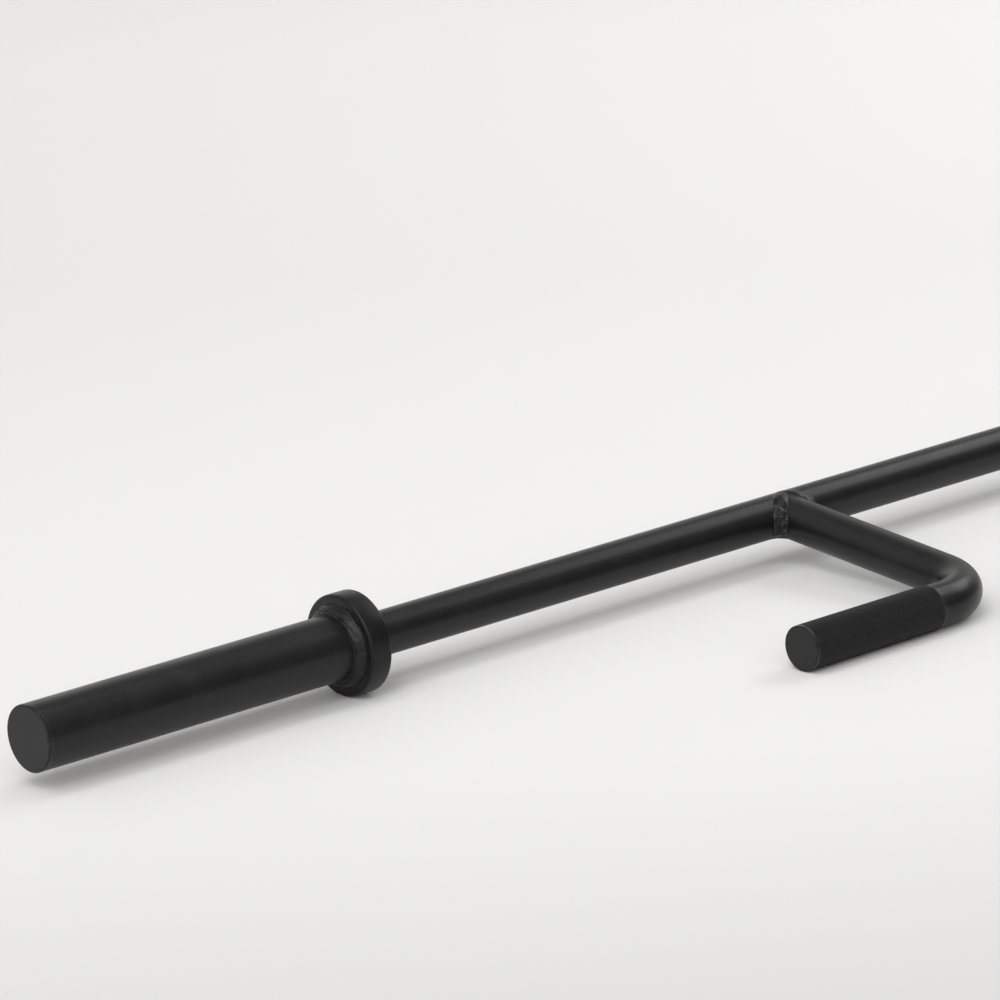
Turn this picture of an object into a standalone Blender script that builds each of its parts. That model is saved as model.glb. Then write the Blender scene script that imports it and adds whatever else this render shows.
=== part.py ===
"""T-bar row lever with its floor pivot, as an assembly of separate pieces.

Metres, +Z up.  The origin is the middle of the base plate's underside, on the floor.
The bar runs along -X from the pivot to the loading sleeve's tip, and the handle is on -Y.
At rest the collar and the grip lie on the floor, so the bar is level at the collar's radius.
"""
import math

import bmesh
import bpy

# Driving sizes of the bar
GAP = 0.0003
WELD_DISTANCE = 0.00001
LEVER_LENGTH = 1.600
SLEEVE_LENGTH = 0.282
SLEEVE_DIAMETER = 0.050
SHAFT_DIAMETER = 0.0337
TUBE_WALL = 0.0032
COLLAR_DIAMETER = 0.077
COLLAR_THICKNESS = 0.0195
COLLAR_ROUND = 0.0018
COLLAR_DISH = 0.0001
SLEEVE_CAP_THICKNESS = 0.004
SLEEVE_CAP_SPIGOT = 0.012
SLEEVE_CHAMFER = 0.0012
SLEEVE_BEAD_LEG = 0.0068
SHAFT_BEAD_LEG = 0.005

# Driving sizes of the handle
HANDLE_STATION = 0.7246
HANDLE_REACH = 0.2196
GRIP_OVERHANG = 0.1872
GRIP_DIAMETER = 0.0352
BEND_RADIUS = 0.042
BEND_STUB = 0.014
BEND_STEPS = 12
GRIP_PLUG_THICKNESS = 0.003
GRIP_PLUG_SPIGOT = 0.010
GRIP_CHAMFER = 0.001
HANDLE_BEAD_RADIUS = 0.0045

# Driving sizes of the hinge
PIVOT_TUBE_DIAMETER = 0.038
PIVOT_TUBE_LENGTH = 0.060
PIVOT_BUSH_WALL = 0.003
PIVOT_BUSH_LENGTH = 0.022
PIVOT_BUSH_FLANGE_DIAMETER = 0.034
PIVOT_BUSH_FLANGE = 0.003
PIVOT_BEAD_RADIUS = 0.004
HINGE_PIN_DIAMETER = 0.016
HINGE_HEX = 0.024
HINGE_HEAD_HEIGHT = 0.010
HINGE_NUT_HEIGHT = 0.014
HINGE_THREAD_END = 0.004
HINGE_WASHER_DIAMETER = 0.030
HINGE_WASHER_THICKNESS = 0.0025
EAR_THICKNESS = 0.010
EAR_RADIUS = 0.024
RUNNING_GAP = 0.0004

# Driving sizes of the floor base and its swivel
BASE_LENGTH = 0.200
BASE_WIDTH = 0.190
BASE_THICKNESS = 0.008
BASE_CORNER = 0.015
HINGE_X = -0.025
KING_X = 0.032
KING_PIN_DIAMETER = 0.020
KING_PIN_SEAT = 0.005
KING_NUT_HEX = 0.030
KING_NUT_HEIGHT = 0.012
KING_THREAD_END = 0.003
KING_WASHER_DIAMETER = 0.037
KING_WASHER_THICKNESS = 0.003
SWIVEL_BUSH_WALL = 0.003
THRUST_DISC_DIAMETER = 0.070
THRUST_DISC_THICKNESS = 0.0015
FORK_THICKNESS = 0.006
FORK_HEEL_RADIUS = 0.038
FORK_ARM_WIDTH = 0.022
BOLT_INSET = 0.024
BOLT_DIAMETER = 0.012
BOLT_HEX = 0.019
BOLT_HEAD_HEIGHT = 0.0075
BOLT_WASHER_DIAMETER = 0.024
BOLT_WASHER_THICKNESS = 0.0025

# Facets round a large, a middling and a small turned piece
LARGE_FACETS = 48
MIDDLE_FACETS = 36
SMALL_FACETS = 24
HEX_SIDES = 6
BEAD_FACETS = 12
CORNER_STEPS = 6
HALF_ROUND_STEPS = 14
ROUND_STEPS = 4

# Worked-out places, all from the sizes above
SLEEVE_RADIUS = SLEEVE_DIAMETER / 2
SHAFT_RADIUS = SHAFT_DIAMETER / 2
SHAFT_BORE = SHAFT_RADIUS - TUBE_WALL
COLLAR_RADIUS = COLLAR_DIAMETER / 2
GRIP_RADIUS = GRIP_DIAMETER / 2
PIVOT_TUBE_RADIUS = PIVOT_TUBE_DIAMETER / 2
PIN_RADIUS = HINGE_PIN_DIAMETER / 2
KING_RADIUS = KING_PIN_DIAMETER / 2
AXIS_HEIGHT = COLLAR_RADIUS
TIP_X = HINGE_X - LEVER_LENGTH
COLLAR_FRONT_X = TIP_X + SLEEVE_LENGTH
COLLAR_BACK_X = COLLAR_FRONT_X + COLLAR_THICKNESS
COLLAR_SEAT_RADIUS = SLEEVE_RADIUS + SLEEVE_BEAD_LEG + 2 * GAP
HANDLE_X = TIP_X + HANDLE_STATION
HANDLE_DROP = AXIS_HEIGHT - GRIP_RADIUS
HANDLE_ARM = math.hypot(HANDLE_REACH, HANDLE_DROP)
HANDLE_DROOP = math.atan2(HANDLE_DROP, HANDLE_REACH)
PIVOT_BUSH_RADIUS = PIN_RADIUS + RUNNING_GAP + PIVOT_BUSH_WALL
HUB_HALF = PIVOT_TUBE_LENGTH / 2 + GAP + PIVOT_BUSH_FLANGE
EAR_INNER_Y = HUB_HALF + RUNNING_GAP
EAR_OUTER_Y = EAR_INNER_Y + EAR_THICKNESS
THRUST_BOTTOM_Z = BASE_THICKNESS + GAP
FORK_BOTTOM_Z = THRUST_BOTTOM_Z + THRUST_DISC_THICKNESS + GAP
FORK_TOP_Z = FORK_BOTTOM_Z + FORK_THICKNESS
SWIVEL_BUSH_RADIUS = KING_RADIUS + RUNNING_GAP + SWIVEL_BUSH_WALL
KING_WASHER_Z = FORK_TOP_Z + RUNNING_GAP
KING_NUT_Z = KING_WASHER_Z + KING_WASHER_THICKNESS + GAP

# Finishes: colour, roughness, metallic
BLACK_COAT = ((0.022, 0.022, 0.023), 0.42, 0.0)
BLACK_KNURL = ((0.016, 0.016, 0.017), 0.55, 0.0)
BLACK_BASE = ((0.026, 0.026, 0.027), 0.48, 0.0)
ZINC_STEEL = ((0.52, 0.53, 0.54), 0.32, 1.0)
BRONZE = ((0.55, 0.36, 0.16), 0.35, 1.0)
BLACK_NYLON = ((0.015, 0.015, 0.015), 0.60, 0.0)

for old in list(bpy.data.objects):
    bpy.data.objects.remove(old, do_unlink=True)


def new_collection(name):
    collection = bpy.data.collections.new(name)
    bpy.context.scene.collection.children.link(collection)
    return collection


PARTS = new_collection("t_bar_row")
CUTTERS = new_collection("cutters")


def finish_material(name, finish):
    colour, roughness, metallic = finish
    material = bpy.data.materials.new(name)
    material.use_nodes = True
    shader = material.node_tree.nodes["Principled BSDF"]
    shader.inputs["Base Color"].default_value = (*colour, 1.0)
    shader.inputs["Roughness"].default_value = roughness
    shader.inputs["Metallic"].default_value = metallic
    return material


def place(obj, parent, location, rotation):
    obj.parent = parent
    obj.location = location
    obj.rotation_euler = rotation


def into(obj, collection):
    for other in list(obj.users_collection):
        other.objects.unlink(obj)
    collection.objects.link(obj)


def make_part(obj, finish, parent=None, location=(0, 0, 0), rotation=(0, 0, 0)):
    """Give a piece its finish, its place and its collection."""
    into(obj, PARTS)
    obj.data.materials.clear()
    obj.data.materials.append(finish_material(obj.name + "_finish", finish))
    place(obj, parent, location, rotation)
    return obj


def make_cutter(obj, parent=None, location=(0, 0, 0), rotation=(0, 0, 0)):
    into(obj, CUTTERS)
    place(obj, parent, location, rotation)
    obj.hide_render = True
    obj.display_type = "WIRE"
    return obj


def cut(target, cutter, folded=False):
    """Take a cutter out of a piece; a folded piece crosses itself at a sharp corner."""
    modifier = target.modifiers.new("cut_" + cutter.name, "BOOLEAN")
    modifier.operation = "DIFFERENCE"
    modifier.solver = "EXACT"
    modifier.use_self = folded
    modifier.object = cutter


def frame_empty(name, parent, location, rotation=(0, 0, 0)):
    empty = bpy.data.objects.new(name, None)
    PARTS.objects.link(empty)
    place(empty, parent, location, rotation)
    return empty


ALONG_X = (0, math.pi / 2, 0)
ALONG_Y = (-math.pi / 2, 0, 0)
AGAINST_Y = (math.pi / 2, 0, 0)
AGAINST_X = (0, -math.pi / 2, 0)


def turned(name, profile, facets, closed=True):
    """A profile of (radius, height) points swept round Z; the outer side runs top to bottom."""
    mesh = bpy.data.meshes.new(name)
    shape = bmesh.new()
    points = [shape.verts.new((radius, 0, height)) for radius, height in profile]
    for first, second in zip(points, points[1:]):
        shape.edges.new((first, second))
    if closed:
        shape.edges.new((points[-1], points[0]))
    shape.to_mesh(mesh)
    shape.free()
    obj = bpy.data.objects.new(name, mesh)
    bpy.context.scene.collection.objects.link(obj)
    screw = obj.modifiers.new("turn", "SCREW")
    screw.axis = "Z"
    screw.angle = 2 * math.pi
    screw.steps = facets
    screw.render_steps = facets
    screw.use_merge_vertices = True
    screw.merge_threshold = WELD_DISTANCE
    screw.use_smooth_shade = True
    return obj


def ring_profile(outer, inner, bottom, top):
    return [(outer, top), (outer, bottom), (inner, bottom), (inner, top)]


def cylinder(name, radius, bottom, top, facets):
    bpy.ops.mesh.primitive_cylinder_add(vertices=facets, radius=radius, depth=top - bottom)
    obj = bpy.context.active_object
    obj.name = name
    for vertex in obj.data.vertices:
        vertex.co.z += (top + bottom) / 2
    return obj


def hexagon(name, across_flats, bottom, top):
    return cylinder(name, across_flats / math.sqrt(3), bottom, top, HEX_SIDES)


def flat_outline(name, loops, thickness):
    """A plate from closed outlines in the XY plane; the later loops are holes."""
    curve = bpy.data.curves.new(name, "CURVE")
    curve.dimensions = "2D"
    curve.fill_mode = "BOTH"
    curve.extrude = thickness / 2
    for loop in loops:
        spline = curve.splines.new("POLY")
        spline.points.add(len(loop) - 1)
        for point, (x, y) in zip(spline.points, loop):
            point.co = (x, y, 0, 1)
        spline.use_cyclic_u = True
    obj = bpy.data.objects.new(name, curve)
    bpy.context.scene.collection.objects.link(obj)
    return obj


def arc(centre, radius, start, end, steps):
    points = []
    for step in range(steps + 1):
        angle = start + (end - start) * step / steps
        points.append((centre[0] + radius * math.cos(angle), centre[1] + radius * math.sin(angle)))
    return points


def circle(centre, radius, steps):
    return arc(centre, radius, 0, 2 * math.pi * (steps - 1) / steps, steps - 1)


def swept(name, points, radius, facets, cyclic=False):
    """A round bar along a route, as a mesh."""
    curve = bpy.data.curves.new(name, "CURVE")
    curve.dimensions = "3D"
    curve.bevel_depth = radius
    curve.bevel_resolution = facets // 2 - 2
    curve.use_fill_caps = not cyclic
    spline = curve.splines.new("POLY")
    spline.points.add(len(points) - 1)
    for point, place_on_route in zip(spline.points, points):
        point.co = (*place_on_route, 1)
    spline.use_cyclic_u = cyclic
    obj = bpy.data.objects.new(name, curve)
    bpy.context.scene.collection.objects.link(obj)
    bpy.ops.object.select_all(action="DESELECT")
    obj.select_set(True)
    bpy.context.view_layer.objects.active = obj
    bpy.ops.object.convert(target="MESH")
    return bpy.context.active_object


def saddle_route(around, across, steps):
    """The line where a tube of one radius, along -Y, meets another along X."""
    points = []
    for step in range(steps):
        angle = 2 * math.pi * step / steps
        x = around * math.cos(angle)
        z = around * math.sin(angle)
        points.append((x, -math.sqrt(max(across * across - z * z, 0)), z))
    return points


# Frames that carry the moving pieces
swivel_frame = frame_empty("swivel_axis", None, (KING_X, 0, 0))
lever_frame = frame_empty("lever_axis", swivel_frame, (HINGE_X - KING_X, 0, AXIS_HEIGHT))
handle_frame = frame_empty("handle_axis", lever_frame, (HANDLE_X - HINGE_X, 0, 0), (HANDLE_DROOP, 0, 0))


def on_lever(x):
    """A place on the bar's axis, in the lever's own frame."""
    return (x - HINGE_X, 0, 0)


# The floor base
def build_base():
    half_length = BASE_LENGTH / 2 - BASE_CORNER
    half_width = BASE_WIDTH / 2 - BASE_CORNER
    corners = [(half_length, half_width, 0), (-half_length, half_width, 1)]
    corners += [(-half_length, -half_width, 2), (half_length, -half_width, 3)]
    outline = []
    for x, y, quarter in corners:
        start = quarter * math.pi / 2
        outline += arc((x, y), BASE_CORNER, start, start + math.pi / 2, CORNER_STEPS)
    bolt_places = []
    for x_side in (-1, 1):
        for y_side in (-1, 1):
            x = x_side * (BASE_LENGTH / 2 - BOLT_INSET)
            y = y_side * (BASE_WIDTH / 2 - BOLT_INSET)
            bolt_places.append((x, y))
    holes = [circle(spot, BOLT_DIAMETER / 2 + GAP, SMALL_FACETS) for spot in bolt_places]
    plate = flat_outline("base_plate", [outline] + holes, BASE_THICKNESS)
    bpy.ops.object.select_all(action="DESELECT")
    plate.select_set(True)
    bpy.context.view_layer.objects.active = plate
    bpy.ops.object.convert(target="MESH")
    plate = bpy.context.active_object
    make_part(plate, BLACK_BASE, None, (0, 0, BASE_THICKNESS / 2))
    seat_floor = BASE_THICKNESS - KING_PIN_SEAT
    seat = cylinder("king_seat", KING_RADIUS + GAP, seat_floor - GAP, BASE_THICKNESS + GAP, SMALL_FACETS)
    make_cutter(seat, None, (KING_X, 0, 0))
    cut(plate, seat)
    for number, (x, y) in enumerate(bolt_places, start=1):
        build_floor_bolt(number, x, y)


def build_floor_bolt(number, x, y):
    washer_bottom = BASE_THICKNESS + GAP
    washer_top = washer_bottom + BOLT_WASHER_THICKNESS
    hole = BOLT_DIAMETER / 2 + GAP
    washer = turned(
        "floor_washer_%d" % number,
        ring_profile(BOLT_WASHER_DIAMETER / 2, hole, washer_bottom, washer_top),
        SMALL_FACETS,
    )
    make_part(washer, ZINC_STEEL, None, (x, y, 0))
    head_bottom = washer_top + GAP
    bolt = hexagon("floor_bolt_%d" % number, BOLT_HEX, head_bottom, head_bottom + BOLT_HEAD_HEIGHT)
    make_part(bolt, ZINC_STEEL, None, (x, y, 0))
    add_shank(bolt, BOLT_DIAMETER / 2, GAP, head_bottom + BOLT_HEAD_HEIGHT / 2)


def add_shank(bolt, radius, bottom, top):
    """Join a round shank to a bolt's head, as one body."""
    shank = cylinder(bolt.name + "_shank", radius, bottom, top, SMALL_FACETS)
    make_cutter(shank, bolt.parent, bolt.location, bolt.rotation_euler)
    modifier = bolt.modifiers.new("shank", "BOOLEAN")
    modifier.operation = "UNION"
    modifier.solver = "EXACT"
    modifier.object = shank


def bore_nut(nut, radius, bottom, top):
    """Cut a nut's hole right through it."""
    bore = cylinder(nut.name + "_bore", radius, bottom - GAP, top + GAP, SMALL_FACETS)
    make_cutter(bore, nut.parent, nut.location, nut.rotation_euler)
    cut(nut, bore)


# The king pin that the fork swivels on
def build_king():
    foot = BASE_THICKNESS - KING_PIN_SEAT
    top = KING_NUT_Z + KING_NUT_HEIGHT + KING_THREAD_END
    pin = cylinder("king_pin", KING_RADIUS, foot, top, SMALL_FACETS)
    make_part(pin, ZINC_STEEL, None, (KING_X, 0, 0))
    hole = KING_RADIUS + GAP
    disc = turned(
        "thrust_disc",
        ring_profile(
            THRUST_DISC_DIAMETER / 2, hole, THRUST_BOTTOM_Z, THRUST_BOTTOM_Z + THRUST_DISC_THICKNESS
        ),
        MIDDLE_FACETS,
    )
    make_part(disc, BLACK_NYLON, None, (KING_X, 0, 0))
    washer = turned(
        "king_washer",
        ring_profile(KING_WASHER_DIAMETER / 2, hole, KING_WASHER_Z, KING_WASHER_Z + KING_WASHER_THICKNESS),
        SMALL_FACETS,
    )
    make_part(washer, ZINC_STEEL, None, (KING_X, 0, 0))
    nut_top = KING_NUT_Z + KING_NUT_HEIGHT
    nut = hexagon("king_nut", KING_NUT_HEX, KING_NUT_Z, nut_top)
    make_part(nut, ZINC_STEEL, None, (KING_X, 0, 0))
    bore_nut(nut, hole, KING_NUT_Z, nut_top)


# The fork and its two ears
def build_fork():
    toe = HINGE_X - KING_X - EAR_RADIUS
    throat = EAR_INNER_Y
    side = EAR_INNER_Y + FORK_ARM_WIDTH
    throat_end = -FORK_HEEL_RADIUS
    outline = arc((0, 0), FORK_HEEL_RADIUS, -math.pi / 2, math.pi / 2, HALF_ROUND_STEPS)
    outline += [(throat_end, side), (toe, side), (toe, throat)]
    outline += [(throat_end, throat), (throat_end, -throat)]
    outline += [(toe, -throat), (toe, -side), (throat_end, -side)]
    hole = circle((0, 0), SWIVEL_BUSH_RADIUS + GAP, SMALL_FACETS)
    fork = flat_outline("swivel_fork", [outline, hole], FORK_THICKNESS)
    make_part(fork, BLACK_BASE, swivel_frame, (0, 0, FORK_BOTTOM_Z + FORK_THICKNESS / 2))
    bush = turned(
        "swivel_bush",
        ring_profile(SWIVEL_BUSH_RADIUS, KING_RADIUS + RUNNING_GAP, FORK_BOTTOM_Z, FORK_TOP_Z),
        SMALL_FACETS,
    )
    make_part(bush, BRONZE, swivel_frame)
    for name, side_sign in (("ear_near", -1), ("ear_far", 1)):
        build_ear(name, side_sign)


def build_ear(name, side_sign):
    foot = FORK_TOP_Z + GAP - AXIS_HEIGHT
    outline = arc((0, 0), EAR_RADIUS, 0, math.pi, HALF_ROUND_STEPS)
    outline += [(-EAR_RADIUS, foot), (EAR_RADIUS, foot)]
    hole = circle((0, 0), PIN_RADIUS + GAP, SMALL_FACETS)
    ear = flat_outline(name, [outline, hole], EAR_THICKNESS)
    middle = side_sign * (EAR_INNER_Y + EAR_OUTER_Y) / 2
    place_in_swivel = (HINGE_X - KING_X, middle, AXIS_HEIGHT)
    make_part(ear, BLACK_BASE, swivel_frame, place_in_swivel, AGAINST_Y)


# The hinge pin and what holds it
def build_hinge_pin():
    axis_place = (HINGE_X - KING_X, 0, AXIS_HEIGHT)
    washer_hole = PIN_RADIUS + GAP
    near_face = -EAR_OUTER_Y - GAP
    far_face = EAR_OUTER_Y + GAP
    spans = {
        "pin_washer_near": (near_face - HINGE_WASHER_THICKNESS, near_face),
        "pin_washer_far": (far_face, far_face + HINGE_WASHER_THICKNESS),
    }
    for name, (bottom, top) in spans.items():
        washer = turned(
            name, ring_profile(HINGE_WASHER_DIAMETER / 2, washer_hole, bottom, top), SMALL_FACETS
        )
        make_part(washer, ZINC_STEEL, swivel_frame, axis_place, ALONG_Y)
    head_face = spans["pin_washer_near"][0] - GAP
    nut_face = spans["pin_washer_far"][1] + GAP
    pin_end = nut_face + HINGE_NUT_HEIGHT + HINGE_THREAD_END
    pin = hexagon("hinge_pin", HINGE_HEX, head_face - HINGE_HEAD_HEIGHT, head_face)
    make_part(pin, ZINC_STEEL, swivel_frame, axis_place, ALONG_Y)
    add_shank(pin, PIN_RADIUS, head_face - HINGE_HEAD_HEIGHT / 2, pin_end)
    nut = hexagon("hinge_nut", HINGE_HEX, nut_face, nut_face + HINGE_NUT_HEIGHT)
    make_part(nut, ZINC_STEEL, swivel_frame, axis_place, ALONG_Y)
    bore_nut(nut, washer_hole, nut_face, nut_face + HINGE_NUT_HEIGHT)


# The lever's cross tube and its two bushes
def build_pivot_tube():
    half = PIVOT_TUBE_LENGTH / 2
    bore = PIVOT_BUSH_RADIUS + GAP
    tube = turned("pivot_tube", ring_profile(PIVOT_TUBE_RADIUS, bore, -half, half), MIDDLE_FACETS)
    make_part(tube, BLACK_COAT, lever_frame, (0, 0, 0), ALONG_Y)
    running = PIN_RADIUS + RUNNING_GAP
    flange = PIVOT_BUSH_FLANGE_DIAMETER / 2
    seat = half + GAP
    profile = [
        (flange, seat + PIVOT_BUSH_FLANGE),
        (flange, seat),
        (PIVOT_BUSH_RADIUS, seat),
        (PIVOT_BUSH_RADIUS, seat - PIVOT_BUSH_LENGTH),
        (running, seat - PIVOT_BUSH_LENGTH),
        (running, seat + PIVOT_BUSH_FLANGE),
    ]
    far = turned("pivot_bush_far", profile, SMALL_FACETS)
    make_part(far, BRONZE, lever_frame, (0, 0, 0), ALONG_Y)
    near = turned("pivot_bush_near", profile, SMALL_FACETS)
    make_part(near, BRONZE, lever_frame, (0, 0, 0), AGAINST_Y)
    build_pivot_bead()


def build_pivot_bead():
    """The weld where the shaft's end meets the cross tube."""
    turn = (0, 0, -math.pi / 2)
    route = saddle_route(SHAFT_RADIUS, PIVOT_TUBE_RADIUS, MIDDLE_FACETS)
    bead = swept("pivot_weld", route, PIVOT_BEAD_RADIUS, BEAD_FACETS, cyclic=True)
    make_part(bead, BLACK_COAT, lever_frame, (0, 0, 0), turn)
    half = PIVOT_TUBE_LENGTH / 2
    tube = cylinder("pivot_weld_tube", PIVOT_TUBE_RADIUS + GAP, -half, half, LARGE_FACETS)
    make_cutter(tube, lever_frame, (0, 0, 0), ALONG_Y)
    cut(bead, tube)
    shaft = cylinder("pivot_weld_shaft", SHAFT_RADIUS + GAP, -2 * half, 0, LARGE_FACETS)
    make_cutter(shaft, lever_frame, (0, 0, 0), ALONG_X)
    cut(bead, shaft)


# The bar: shaft, sleeve, collar and their welds
def build_bar():
    shaft_start = TIP_X + SLEEVE_CAP_THICKNESS + GAP
    shaft_length = HINGE_X - shaft_start
    shaft = turned(
        "shaft_tube", ring_profile(SHAFT_RADIUS, SHAFT_BORE, 0, shaft_length), LARGE_FACETS
    )
    make_part(shaft, BLACK_COAT, lever_frame, on_lever(shaft_start), ALONG_X)
    half = PIVOT_TUBE_LENGTH / 2
    cope = cylinder("shaft_cope", PIVOT_TUBE_RADIUS + GAP, -half, half, LARGE_FACETS)
    make_cutter(cope, lever_frame, (0, 0, 0), ALONG_Y)
    cut(shaft, cope)

    fit = SHAFT_RADIUS + GAP
    sleeve_start = TIP_X + SLEEVE_CAP_THICKNESS + GAP
    sleeve_length = COLLAR_FRONT_X - GAP - sleeve_start
    sleeve = turned("loading_sleeve", ring_profile(SLEEVE_RADIUS, fit, 0, sleeve_length), LARGE_FACETS)
    make_part(sleeve, BLACK_COAT, lever_frame, on_lever(sleeve_start), ALONG_X)

    spigot = SHAFT_BORE - GAP
    cap_back = SLEEVE_CAP_THICKNESS
    cap = turned(
        "sleeve_end_cap",
        [
            (0, cap_back + SLEEVE_CAP_SPIGOT),
            (spigot, cap_back + SLEEVE_CAP_SPIGOT),
            (spigot, cap_back),
            (SLEEVE_RADIUS, cap_back),
            (SLEEVE_RADIUS, SLEEVE_CHAMFER),
            (SLEEVE_RADIUS - SLEEVE_CHAMFER, 0),
            (0, 0),
        ],
        LARGE_FACETS,
        closed=False,
    )
    make_part(cap, BLACK_COAT, lever_frame, on_lever(TIP_X), ALONG_X)

    collar_section = collar_profile(fit)
    collar = turned("collar_flange", collar_section, LARGE_FACETS)
    make_part(collar, BLACK_COAT, lever_frame, on_lever(COLLAR_FRONT_X), ALONG_X)

    front_bead = turned("sleeve_weld", bead_profile(SLEEVE_RADIUS + GAP, SLEEVE_BEAD_LEG), LARGE_FACETS)
    make_part(front_bead, BLACK_COAT, lever_frame, on_lever(COLLAR_FRONT_X - GAP), AGAINST_X)
    back_bead = turned("shaft_weld", bead_profile(fit, SHAFT_BEAD_LEG), LARGE_FACETS)
    make_part(back_bead, BLACK_COAT, lever_frame, on_lever(COLLAR_BACK_X + GAP), ALONG_X)


def collar_profile(inner):
    """The collar's section, with rounded outer edges and a front face dished a little under its bead."""
    corner = COLLAR_RADIUS - COLLAR_ROUND
    profile = []
    for step in range(ROUND_STEPS + 1):
        angle = math.pi / 2 * step / ROUND_STEPS
        up = COLLAR_THICKNESS - COLLAR_ROUND + COLLAR_ROUND * math.cos(angle)
        profile.append((corner + COLLAR_ROUND * math.sin(angle), up))
    for step in range(ROUND_STEPS + 1):
        angle = math.pi / 2 * step / ROUND_STEPS
        up = COLLAR_ROUND - COLLAR_ROUND * math.sin(angle)
        profile.append((corner + COLLAR_ROUND * math.cos(angle), up))
    return profile + [(COLLAR_SEAT_RADIUS, 0), (inner, COLLAR_DISH), (inner, COLLAR_THICKNESS)]


def bead_profile(inner, leg):
    """A bulging fillet that stands on a flat face at height 0."""
    profile = []
    for step in range(ROUND_STEPS + 1):
        angle = math.pi / 2 * (1 - step / ROUND_STEPS)
        profile.append((inner + leg * math.cos(angle), leg * math.sin(angle)))
    return profile + [(inner, 0)]


# The handle: bent arm, knurled grip, plug and weld
def build_handle():
    grip_face = -GRIP_OVERHANG
    grip_start = -BEND_RADIUS - BEND_STUB
    bend_centre = (-BEND_RADIUS, -HANDLE_ARM + BEND_RADIUS)
    bend = arc(bend_centre, BEND_RADIUS, 0, -math.pi / 2, BEND_STEPS)
    route = [(0, 0, 0)] + [(x, y, 0) for x, y in bend] + [(grip_start, -HANDLE_ARM, 0)]
    arm = swept("handle_arm", route, SHAFT_RADIUS, MIDDLE_FACETS)
    make_part(arm, BLACK_COAT, handle_frame)
    past_end = (grip_start - GAP, -HANDLE_ARM, 0)
    bore = swept("handle_bore", route[:-1] + [past_end], SHAFT_BORE, SMALL_FACETS)
    make_cutter(bore, handle_frame)
    cut(arm, bore)
    reach = 2 * SHAFT_DIAMETER
    cope = cylinder("handle_cope", SHAFT_RADIUS + GAP, -reach, reach, LARGE_FACETS)
    make_cutter(cope, handle_frame, (0, 0, 0), ALONG_X)
    cut(arm, cope)

    weld_route = saddle_route(SHAFT_RADIUS, SHAFT_RADIUS, LARGE_FACETS)
    bead = swept("handle_weld", weld_route, HANDLE_BEAD_RADIUS, BEAD_FACETS, cyclic=True)
    make_part(bead, BLACK_COAT, handle_frame)
    cut(bead, cope, folded=True)
    arm_core = cylinder("handle_weld_arm", SHAFT_RADIUS + GAP, 0, reach, LARGE_FACETS)
    make_cutter(arm_core, handle_frame, (0, 0, 0), AGAINST_Y)
    cut(bead, arm_core, folded=True)

    plug_back = grip_face + GRIP_PLUG_THICKNESS
    grip_back = plug_back + GAP
    grip_length = grip_start - GAP - grip_back
    grip = turned("knurled_grip", ring_profile(GRIP_RADIUS, SHAFT_BORE, 0, grip_length), LARGE_FACETS)
    make_part(grip, BLACK_KNURL, handle_frame, (grip_back, -HANDLE_ARM, 0), ALONG_X)

    spigot = SHAFT_BORE - GAP
    plug = turned(
        "grip_end_plug",
        [
            (0, GRIP_PLUG_THICKNESS + GRIP_PLUG_SPIGOT),
            (spigot, GRIP_PLUG_THICKNESS + GRIP_PLUG_SPIGOT),
            (spigot, GRIP_PLUG_THICKNESS),
            (GRIP_RADIUS, GRIP_PLUG_THICKNESS),
            (GRIP_RADIUS, GRIP_CHAMFER),
            (GRIP_RADIUS - GRIP_CHAMFER, 0),
            (0, 0),
        ],
        LARGE_FACETS,
        closed=False,
    )
    make_part(plug, BLACK_COAT, handle_frame, (grip_face, -HANDLE_ARM, 0), ALONG_X)


build_base()
build_king()
build_fork()
build_hinge_pin()
build_pivot_tube()
build_bar()
build_handle()
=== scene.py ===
"""Looks of the T-bar row lever: surfaces, weld beads, knurl, fasteners, finishes and studio."""
import math

import bmesh
import bpy
from mathutils import Matrix, Vector, noise


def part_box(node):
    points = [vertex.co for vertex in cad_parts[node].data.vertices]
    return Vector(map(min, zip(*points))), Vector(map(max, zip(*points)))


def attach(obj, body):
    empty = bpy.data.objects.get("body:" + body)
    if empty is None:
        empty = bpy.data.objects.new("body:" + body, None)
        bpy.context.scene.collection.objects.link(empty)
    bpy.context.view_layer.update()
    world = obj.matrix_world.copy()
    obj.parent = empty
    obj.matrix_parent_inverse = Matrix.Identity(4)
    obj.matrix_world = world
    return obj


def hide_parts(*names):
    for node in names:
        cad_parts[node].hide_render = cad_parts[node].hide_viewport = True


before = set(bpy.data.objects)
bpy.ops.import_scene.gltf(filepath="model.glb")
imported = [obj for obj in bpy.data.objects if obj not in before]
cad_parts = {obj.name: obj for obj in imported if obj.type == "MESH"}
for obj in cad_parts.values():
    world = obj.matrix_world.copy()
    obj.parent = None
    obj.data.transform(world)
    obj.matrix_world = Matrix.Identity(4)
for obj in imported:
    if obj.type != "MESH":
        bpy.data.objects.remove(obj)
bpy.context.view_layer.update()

# Segments round the large surfaces, the hexagons and the small surfaces
FINE = 128
HEX_SEGMENTS = 96
SMALL = 64

# A length that counts as none
TINY = 1e-9

# How far apart two seeds of the noise lie along Y and Z, for 1 along X
SEED_Y = 1.7
SEED_Z = 0.3

# Folds beyond these angles stay sharp
SHARP_HEX = math.radians(20)
SHARP_JOINED = math.radians(25)
SHARP_THREAD = math.radians(35)
SHARP_TURNED = math.radians(40)
SHARP_BENT = math.radians(50)
SHARP_BEAD = math.radians(60)

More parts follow.
